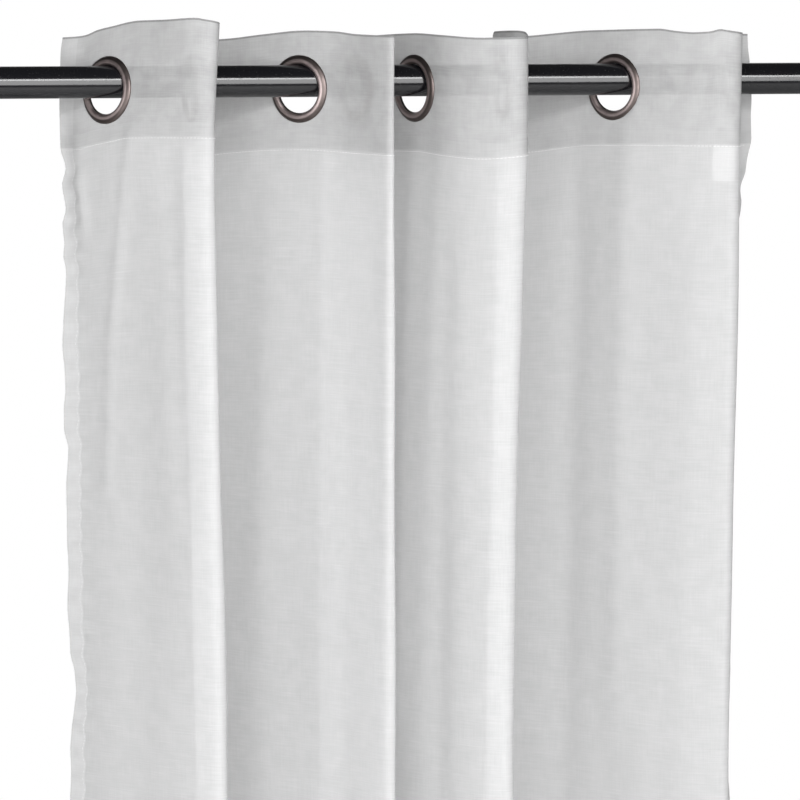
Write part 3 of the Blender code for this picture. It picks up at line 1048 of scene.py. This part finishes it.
@dataclass
class Heading:
    """The doubled strip along the top, with a round hole at each eyelet."""

    columns: int = 420
    rows: int = 26
    hole_radius: float = 0.0226
    hole_depth: float = 0.006
    hole_near: float = 1.6
    rim_from: float = 0.9
    rim_to: float = 1.35
    rim_flatness: float = 0.2
    length: float = HEADING_ABOVE + HEADING_BELOW
    turned_in: float = 0.011
    turned_soft: float = 0.0006
    turned_denser: float = 0.35
    turned_shade: float = 0.06
    hem_soft: float = 0.0005
    hem_denser: float = 0.4
    # The top edge's darkening below is painted shade.
    edge: float = 0.0016
    edge_soft: float = 0.0004
    edge_darker: float = 0.45

    def surface(self, hang: Hang, alongs: np.ndarray) -> np.ndarray:
        """Hangs the strip's points between its top edge and its seam.

        Args:
            hang: The way the cloth hangs.
            alongs: Distances along the flat cloth.

        Returns:
            A point for each row and column.
        """
        share = np.linspace(0.0, 1.0, self.rows + 1)
        top = -TOP_DROP + hang.lift(alongs, "top")
        seam = -SEAM_DROP + hang.lift(alongs, "seam")
        heights = top[None] * (1 - share[:, None]) + seam[None] * share[:, None]
        return hang.surface(alongs, TOP_DROP + share * (SEAM_DROP - TOP_DROP), heights)

    def cut_holes(self, shape: BMesh, frames: Sequence[Matrix]) -> None:
        """Opens the cloth inside each eyelet and draws the hole's rim round.

        Args:
            shape: The hung strip.
            frames: The eyelets' places.
        """
        reach = self.hole_radius * self.hole_near
        low, high = self.hole_radius * self.rim_from, self.hole_radius * self.rim_to
        for place in frames:
            inverse = place.inverted()
            near = [vert for vert in shape.verts if (vert.co - place.translation).length < reach]
            inside = [
                vert for vert in near
                if (inverse @ vert.co).xy.length < self.hole_radius
                and abs((inverse @ vert.co).z) < self.hole_depth
            ]
            bmesh.ops.delete(shape, geom=inside, context="VERTS")
            for vert in shape.verts:
                if not vert.is_boundary:
                    continue
                local = inverse @ vert.co
                flat = local.xy
                if low < flat.length < high and abs(local.z) < self.hole_depth:
                    flat = flat.normalized() * self.hole_radius
                    vert.co = place @ Vector((flat.x, flat.y, local.z * self.rim_flatness))

    def zones(self, tree: Tree, place: Socket) -> tuple[Socket, Socket]:
        """The turned-in band above the seam, the side hems and the pressed top edge; the turned-in band and
        the top edge are darkened with painted shade.

        Args:
            tree: The material's tree.
            place: The flat cloth's own place.

        Returns:
            How much denser and how much darker each spot is.
        """
        along, down = place_parts(tree, place)
        turned = band(tree, down, self.length - self.turned_in, self.length + PAST_EDGE, self.turned_soft)
        top = band(tree, down, -PAST_EDGE, self.edge, self.edge_soft)
        sides = both_sides(tree, along, SIDE_HEM, self.hem_soft)
        turned_more = tree.math("MULTIPLY", turned, self.turned_denser)
        denser = tree.math("MAXIMUM", turned_more, tree.math("MULTIPLY", sides, self.hem_denser))
        # Painted shade: the top edge is darkened strongly and the turned-in band a little.
        edge = tree.math("MULTIPLY", top, self.edge_darker)
        darker = tree.math("MULTIPLY_ADD", turned, self.turned_shade, edge)
        return denser, darker

    def build(self, hang: Hang, frames: Sequence[Matrix], finish: VoileFinish,
              weave: NodeTree) -> bpy.types.Object:
        """Builds and dresses the strip, and hides the imported heading that it stands for.

        Args:
            hang: The way the cloth hangs.
            frames: The eyelets' places.
            finish: Its finish.
            weave: The weave's node group.

        Returns:
            The strip.
        """
        alongs = np.linspace(0.0, FLAT_WIDTH, self.columns + 1)
        cloth = FlatCloth("voile_heading", alongs, np.linspace(0.0, self.length, self.rows + 1))
        shape = cloth.cut()
        cloth.hang(shape, self.surface(hang, alongs))
        self.cut_holes(shape, frames)
        piece = finish_piece(cloth.name, shape, finish.build(weave, self.zones))
        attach(piece, "root")
        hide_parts("heading")
        return piece


@dataclass
class Panel:
    """The single voile below the heading, with its side hems and its bottom hem."""

    columns: int = 420
    shown_rows: int = 145
    lower_rows: int = 85
    shown_drop: float = 0.62
    hem_soft: float = 0.0005
    hem_denser: float = 0.26
    side_edge: float = 0.0012
    foot_edge: float = 0.0014
    edge_soft: float = 0.0004
    edge_darker: float = 0.05

    def drops(self) -> np.ndarray:
        """Heights of its rows below the rod's axis, closer in its upper part.

        Returns:
            The heights.
        """
        shown = np.linspace(SEAM_DROP, self.shown_drop, self.shown_rows, endpoint=False)
        lower = np.linspace(self.shown_drop, HEM_DROP, self.lower_rows + 1)
        return np.concatenate((shown, lower))

    def surface(self, hang: Hang, alongs: np.ndarray, drops: np.ndarray) -> np.ndarray:
        """Hangs the panel's points.

        Args:
            hang: The way the cloth hangs.
            alongs: Distances along the flat cloth.
            drops: Heights of its rows below the rod's axis.

        Returns:
            A point for each row and column.
        """
        fade = np.interp(drops, (SEAM_DROP, LIFT_FADE_DROP), (1.0, 0.0))[:, None]
        heights = fade * hang.lift(alongs, "seam")[None] - drops[:, None]
        return hang.surface(alongs, drops, heights)

    def zones(self, tree: Tree, place: Socket) -> tuple[Socket, Socket]:
        """The doubled side hems and bottom hem, and their pressed edges.

        Args:
            tree: The material's tree.
            place: The flat cloth's own place.

        Returns:
            How much denser and how much darker each spot is.
        """
        along, down = place_parts(tree, place)
        end = PANEL_LENGTH + PAST_EDGE
        foot = band(tree, down, PANEL_LENGTH - BOTTOM_HEM, end, self.hem_soft)
        hems = tree.math("MAXIMUM", both_sides(tree, along, SIDE_HEM, self.hem_soft), foot)
        denser = tree.math("MULTIPLY", hems, self.hem_denser)
        edge_foot = band(tree, down, PANEL_LENGTH - self.foot_edge, end, self.edge_soft)
        sides = both_sides(tree, along, self.side_edge, self.edge_soft)
        darker = tree.math("MULTIPLY", tree.math("MAXIMUM", sides, edge_foot), self.edge_darker)
        return denser, darker

    def build(self, hang: Hang, finish: VoileFinish, weave: NodeTree) -> bpy.types.Object:
        """Builds and dresses the panel, and hides the imported panel that it stands for.

        Args:
            hang: The way the cloth hangs.
            finish: Its finish.
            weave: The weave's node group.

        Returns:
            The panel.
        """
        alongs = np.linspace(0.0, FLAT_WIDTH, self.columns + 1)
        drops = self.drops()
        cloth = FlatCloth("voile_panel", alongs, drops - SEAM_DROP)
        shape = cloth.cut()
        cloth.hang(shape, self.surface(hang, alongs, drops))
        piece = finish_piece(cloth.name, shape, finish.build(weave, self.zones))
        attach(piece, "root")
        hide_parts("panel")
        return piece


@dataclass
class EyeletRings:
    """Eight pressed metal rings, each with a rounded face, a rolled inner lip and a flatter back."""

    hole_radius: float = 0.01895
    rim_radius: float = 0.02675
    crown: float = 0.0030
    back: float = 0.0022
    segments: int = 96
    merge: float = 0.00001

    def frames(self) -> list[Matrix]:
        """Place of each eyelet: X along the cloth, Y up it, Z towards the viewer.

        Returns:
            The eight places.
        """
        places = []
        for row in EYELETS:
            way, away = run_and_away(row.turn_head)
            along = Vector((*way, 0.0))
            lean = Vector((*away, 0.0)) * math.tan(math.radians(row.lean))
            upward = (lean + Vector((0.0, 0.0, 1.0))).normalized()
            facing = along.cross(upward).normalized()
            if facing.y > 0:
                along, facing = -along, -facing
            place = Matrix((along, upward, facing)).transposed().to_4x4()
            lower = EYELET_DROP - row.drop * MM
            place.translation = Vector((row.x_head * MM, 0.0, -row.drop * MM)) + lean * lower
            places.append(place)
        return places

    def profile(self) -> list[tuple[float, float]]:
        """Half section of a ring, distance from its axis and height along it, in steps round its outline.

        Returns:
            The section's points.
        """
        hole, rim = self.hole_radius, self.rim_radius
        face = (
            (0.0, 0.0), (0.03, 0.22), (0.08, 0.48), (0.15, 0.74), (0.22, 0.91), (0.29, 0.98), (0.35, 1.0),
            (0.42, 0.985), (0.52, 0.93), (0.64, 0.83), (0.76, 0.70), (0.87, 0.53), (0.95, 0.36), (1.0, 0.16),
        )
        rear = (
            (1.0, 0.30), (0.96, 0.52), (0.80, 0.80), (0.50, 1.0), (0.30, 0.90), (0.14, 0.52), (0.04, 0.20),
        )
        width = rim - hole
        front = [(hole + width * across, self.crown * up) for across, up in face]
        behind = [(hole + width * across, -self.back * up) for across, up in rear]
        return front + behind

    def build(self, places: Sequence[Matrix], material: bpy.types.Material) -> list[bpy.types.Object]:
        """Builds the rings.

        Args:
            places: Where each ring sits.
            material: Their finish.

        Returns:
            The eight rings.
        """
        pieces = []
        for number, place in enumerate(places, 1):
            shape = bmesh.new()
            ring = [shape.verts.new((radius, 0.0, height)) for radius, height in self.profile()]
            edges = [shape.edges.new(pair) for pair in zip(ring, ring[1:] + ring[:1])]
            bmesh.ops.spin(
                shape, geom=ring + edges, cent=(0, 0, 0), axis=(0, 0, 1), angle=2 * math.pi,
                steps=self.segments, use_merge=True,
            )
            bmesh.ops.remove_doubles(shape, verts=shape.verts[:], dist=self.merge)
            bmesh.ops.recalc_face_normals(shape, faces=shape.faces[:])
            across = shape.verts.layers.float.new("across")
            width = self.rim_radius - self.hole_radius
            for vert in shape.verts:
                vert[across] = (vert.co.xy.length - self.hole_radius) / width
            bmesh.ops.transform(shape, matrix=place, verts=shape.verts[:])
            piece = finish_piece(f"ring_{number}", shape, material)
            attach(piece, "root")
            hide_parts(f"eyelet_{number}")
            pieces.append(piece)
        return pieces


@dataclass
class Rod:
    """The plain round rod."""

    diameter: float = 0.0254
    length: float = 0.80
    segments: int = 160
    softened: float = 0.0006
    softened_segments: int = 3
    end_loop: float = 0.003
    end_angle: float = 60.0
    sharp_angle: float = 50.0

    def build(self, material: bpy.types.Material) -> bpy.types.Object:
        """Builds the rod, its cut ends just softened and a loop beside each to keep its length straight.

        Args:
            material: Its finish.

        Returns:
            The rod.
        """
        shape = bmesh.new()
        bmesh.ops.create_cone(
            shape, cap_ends=True, cap_tris=False, segments=self.segments, radius1=self.diameter / 2,
            radius2=self.diameter / 2, depth=self.length,
        )
        ends = [edge for edge in shape.edges if edge.calc_face_angle(0.0) > math.radians(self.end_angle)]
        bmesh.ops.bevel(
            shape, geom=ends, offset=self.softened, segments=self.softened_segments, profile=0.5,
            affect="EDGES", material=-1,
        )
        for end in (-1, 1):
            bmesh.ops.bisect_plane(
                shape, geom=shape.verts[:] + shape.edges[:] + shape.faces[:],
                plane_co=(0.0, 0.0, end * (self.length / 2 - self.end_loop)), plane_no=(0.0, 0.0, 1.0),
            )
        bmesh.ops.rotate(
            shape, verts=shape.verts[:], cent=(0, 0, 0), matrix=Matrix.Rotation(math.pi / 2, 3, "Y"),
        )
        piece = finish_piece("rod_tube", shape, material)
        piece.data.set_sharp_from_angle(angle=math.radians(self.sharp_angle))
        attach(piece, "root")
        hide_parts("rod")
        return piece


@dataclass
class CareLabel:
    """The blank white tab behind the last front fold."""

    width: float = 0.020
    height: float = 0.029
    to_tip: float = 0.016
    behind: float = 0.0013
    columns: int = 16
    rows: int = 22
    samples: int = 200
    fold: float = 0.004
    fold_soft: float = 0.0005
    fold_denser: float = 0.5
    fold_darker: float = 0.03

    def tip_along(self, hang: Hang) -> float:
        """Distance along the cloth of the last front fold's tip at the seam.

        Args:
            hang: The way the cloth hangs.

        Returns:
            The distance.
        """
        first = FLAT_WIDTH - EYELET_PITCH - END_MARGIN
        alongs = np.linspace(first, FLAT_WIDTH - END_MARGIN, self.samples)
        places = hang.plan(alongs, np.array((SEAM_DROP, NECK_DROP)))[0]
        off = np.abs(places[:, 0] - FOLDS[-1].x_seam * MM) + np.maximum(places[:, 1], 0.0)
        return float(alongs[np.argmin(off)])

    def build(self, hang: Hang, finish: VoileFinish, weave: NodeTree) -> bpy.types.Object:
        """Builds and dresses the tab, just behind the cloth that it is sewn to.

        Args:
            hang: The way the cloth hangs.
            finish: Its finish.
            weave: The weave's node group.

        Returns:
            The tab.
        """
        foot = self.tip_along(hang) - self.to_tip
        alongs = np.linspace(foot - self.width, foot, self.columns + 1)
        downs = np.linspace(0.0, self.height, self.rows + 1)
        drops = SEAM_DROP + downs
        points = Panel().surface(hang, alongs, drops)
        tangent = np.gradient(points[..., :2], axis=1)
        tangent /= np.linalg.norm(tangent, axis=-1)[..., None]
        points[..., 0] -= tangent[..., 1] * self.behind
        points[..., 1] += tangent[..., 0] * self.behind
        cloth = FlatCloth("tab", alongs, downs)
        shape = cloth.cut()
        cloth.hang(shape, points)
        piece = finish_piece(cloth.name, shape, finish.build(weave, self.zones))
        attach(piece, "root")
        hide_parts("care_label")
        return piece

    def zones(self, tree: Tree, place: Socket) -> tuple[Socket, Socket]:
        """The tab's folded foot.

        Args:
            tree: The material's tree.
            place: The flat cloth's own place.

        Returns:
            How much denser and how much darker each spot is.
        """
        _, down = place_parts(tree, place)
        foot = band(tree, down, self.height - self.fold, self.height + PAST_EDGE, self.fold_soft)
        denser = tree.math("MULTIPLY", foot, self.fold_denser)
        return denser, tree.math("MULTIPLY", foot, self.fold_darker)


@dataclass
class Stitching:
    """The rows of small white stitches along the seam and the hems."""

    pitch: float = 0.0032
    stitch: float = 0.0021
    radius: float = 0.00015
    side_radius: float = 0.00008
    off: float = 0.0003
    inset: float = 0.0015
    margin: float = 0.004
    sides: int = 5
    across_samples: int = 700
    down_samples: int = 600

    def add_line(self, shape: BMesh, line: np.ndarray, radius: float) -> None:
        """Sews one row of stitches along a line of points.

        Args:
            shape: The shape that the stitches go into.
            line: Points along the row, closer together than the stitches.
            radius: The thread's radius.
        """
        steps = np.linalg.norm(np.diff(line, axis=0), axis=1)
        walked = np.concatenate(((0.0,), np.cumsum(steps)))
        for start in np.arange(self.pitch / 2, walked[-1] - self.pitch, self.pitch):
            ends = [
                Vector([float(np.interp(place, walked, line[:, axis])) for axis in range(3)])
                for place in (start, start + self.stitch)
            ]
            way = ends[1] - ends[0]
            turn = way.to_track_quat("Z", "Y").to_matrix().to_4x4()
            turn.translation = (ends[0] + ends[1]) / 2
            bmesh.ops.create_cone(
                shape, cap_ends=True, cap_tris=False, segments=self.sides, radius1=radius,
                radius2=radius, depth=way.length, matrix=turn,
            )

    def build(self, hang: Hang, material: bpy.types.Material) -> bpy.types.Object:
        """Sews the seam, the two side hems and the bottom hem.

        Args:
            hang: The way the cloth hangs.
            material: The thread's finish.

        Returns:
            The stitching.
        """
        panel = Panel()
        shape = bmesh.new()
        alongs = np.linspace(self.margin, FLAT_WIDTH - self.margin, self.across_samples)
        across = (SEAM_DROP + self.inset, HEM_DROP - BOTTOM_HEM + self.inset)
        for drop in across:
            line = panel.surface(hang, alongs, np.array((drop, drop + MM)))[0]
            self.add_line(shape, self.in_front(line), self.radius)
        drops = np.linspace(SEAM_DROP + self.margin, HEM_DROP - self.margin, self.down_samples)
        for along in (SIDE_HEM - self.inset, FLAT_WIDTH - SIDE_HEM + self.inset):
            both = panel.surface(hang, np.linspace(along - MM, along + MM, 3), drops)
            self.add_line(shape, both[:, 1], self.side_radius)
        piece = finish_piece("stitching", shape, material)
        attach(piece, "root")
        return piece

    def in_front(self, line: np.ndarray) -> np.ndarray:
        """The same line, just in front of the cloth.

        Args:
            line: Points on the cloth.

        Returns:
            The moved points.
        """
        way = np.gradient(line[:, :2], axis=0)
        way /= np.linalg.norm(way, axis=1)[:, None]
        moved = line.copy()
        moved[:, 0] += way[:, 1] * self.off
        moved[:, 1] -= way[:, 0] * self.off
        return moved


@dataclass(frozen=True)
class SoftLight:
    """A rectangular light: its middle, its width and height, and its power in watts."""

    name: str
    place: Triple
    size: tuple[float, float]
    power: float


LIGHTS = (
    SoftLight("front_softbox", (-0.15, -3.85, -0.15), (3.8, 2.3), 188.0),
    SoftLight("front_strip", (-0.15, -3.75, 1.22), (3.8, 0.5), 124.0),
    SoftLight("left_fill", (-2.4, -2.0, -0.7), (1.8, 2.4), 38.0),
    SoftLight("back_softbox", (0.8, 3.4, 0.4), (3.0, 3.0), 24.0),
)


@dataclass
class Studio:
    """The pale floor, the soft lights, the bright surroundings and the camera."""

    floor_drop: float = 2.44
    floor_size: float = 14.0
    floor_tone: float = 0.82
    floor_roughness: float = 0.7
    floor_evened: float = 0.75
    camera_place: Triple = (-0.6278, -3.2298, -0.0011)
    yaw: float = 11.0
    pitch: float = 4.41
    roll: float = 0.32
    lens: float = 185.625
    sensor: float = 36.0
    ambient_above: float = 0.07
    ambient_below: float = 0.36
    ambient_range: tuple[float, float] = (-0.05, 0.30)
    seen_through: float = 0.28
    aim: Triple = (0.0, 0.0, -0.3)

    def build_floor(self) -> bpy.types.Object:
        """Lays the floor, which is evened out to a pale tone where it is looked at.

        Returns:
            The floor.
        """
        shape = bmesh.new()
        bmesh.ops.create_grid(shape, x_segments=1, y_segments=1, size=self.floor_size / 2)
        bmesh.ops.translate(shape, verts=shape.verts[:], vec=(0.0, 0.0, -self.floor_drop))
        material, tree = new_material("pale_floor")
        lit = tree.add("ShaderNodeBsdfPrincipled", {
            "Base Color": grey(self.floor_tone), "Roughness": self.floor_roughness,
        })
        pale = tree.add("ShaderNodeEmission", {"Color": grey(self.floor_tone)})
        seen = tree.add("ShaderNodeLightPath").outputs["Is Camera Ray"]
        share = tree.math("MULTIPLY", seen, self.floor_evened)
        both = tree.add("ShaderNodeMixShader", {0: share, 1: lit.outputs[0], 2: pale.outputs[0]})
        tree.add("ShaderNodeOutputMaterial", {"Surface": both.outputs[0]})
        floor = finish_piece("floor", shape, material)
        return floor

    def add_light(self, light: SoftLight) -> None:
        """Adds a soft light that faces the curtain's upper part.

        Args:
            light: The light's row.
        """
        lamp = bpy.data.lights.new(light.name, "AREA")
        lamp.shape = "RECTANGLE"
        lamp.size, lamp.size_y = light.size
        lamp.energy = light.power
        piece = bpy.data.objects.new(light.name, lamp)
        piece.location = light.place
        aim = Vector(self.aim) - Vector(light.place)
        piece.rotation_euler = aim.to_track_quat("-Z", "Y").to_euler()
        piece.visible_camera = False
        bpy.context.scene.collection.objects.link(piece)

    def build_world(self) -> None:
        """Makes the surroundings: white where they are seen, and light grey through the cloth."""
        world = bpy.data.worlds.new("studio")
        bpy.context.scene.world = world
        world.use_nodes = True
        world.node_tree.nodes.clear()
        tree = Tree(world.node_tree)
        path = tree.add("ShaderNodeLightPath")
        behind = tree.math("GREATER_THAN", path.outputs["Transparent Depth"], 0.5)
        seen = tree.blend(behind, grey(1.0), grey(self.seen_through))
        way = tree.add("ShaderNodeTexCoord").outputs["Generated"]
        height = tree.add("ShaderNodeSeparateXYZ", {0: way}).outputs["Z"]
        level = tree.spread(height, *self.ambient_range, self.ambient_below, self.ambient_above)
        lit = tree.add("ShaderNodeBackground", {"Color": grey(1.0), "Strength": level})
        shown = tree.add("ShaderNodeBackground", {"Color": seen, "Strength": 1.0})
        both = tree.add("ShaderNodeMixShader", {
            0: path.outputs["Is Camera Ray"], 1: lit.outputs[0], 2: shown.outputs[0],
        })
        tree.add("ShaderNodeOutputWorld", {"Surface": both.outputs[0]})

    def build_camera(self) -> None:
        """Sets the camera where the photograph was taken from."""
        yaw, pitch, roll = (math.radians(angle) for angle in (self.yaw, self.pitch, self.roll))
        ahead = Vector((math.sin(yaw) * math.cos(pitch), math.cos(yaw) * math.cos(pitch), -math.sin(pitch)))
        level = Vector((math.cos(yaw), -math.sin(yaw), 0.0))
        upward = level.cross(ahead)
        right = math.cos(roll) * level - math.sin(roll) * upward
        up = math.sin(roll) * level + math.cos(roll) * upward
        lens = bpy.data.cameras.new("camera")
        lens.lens = self.lens
        lens.sensor_width = self.sensor
        camera = bpy.data.objects.new("camera", lens)
        place = Matrix((right, up, -ahead)).transposed().to_4x4()
        place.translation = Vector(self.camera_place)
        camera.matrix_world = place
        bpy.context.scene.collection.objects.link(camera)
        bpy.context.scene.camera = camera

    def build(self) -> None:
        """Sets up everything that isn't part of the curtain."""
        bpy.context.scene.view_settings.view_transform = "Standard"
        self.build_floor()
        for light in LIGHTS:
            self.add_light(light)
        self.build_world()
        self.build_camera()


def main() -> None:
    """Builds and dresses every piece of the curtain."""
    logging.basicConfig(level=logging.INFO, format="%(name)s: %(message)s")
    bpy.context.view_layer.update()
    Studio().build()
    hang = Hang()
    weave = WeaveGroup().build()
    wear = WearGroup().build()
    rings = EyeletRings()
    places = rings.frames()
    heading = Heading().build(hang, places, SHADED_DOUBLE_VOILE, weave)
    panel = Panel().build(hang, SINGLE_VOILE, weave)
    ring_pieces = rings.build(places, PLATING.build(wear))
    rod = Rod().build(LACQUER.build(wear))
    label = CareLabel().build(hang, TAPE, weave)
    stitches = Stitching().build(hang, WHITE_THREAD.build(wear))
    for piece in (heading, panel, *ring_pieces, rod, label, stitches):
        LOG.info("%s: %d faces", piece.name, len(piece.data.polygons))


if __name__ == "__main__":
    main()
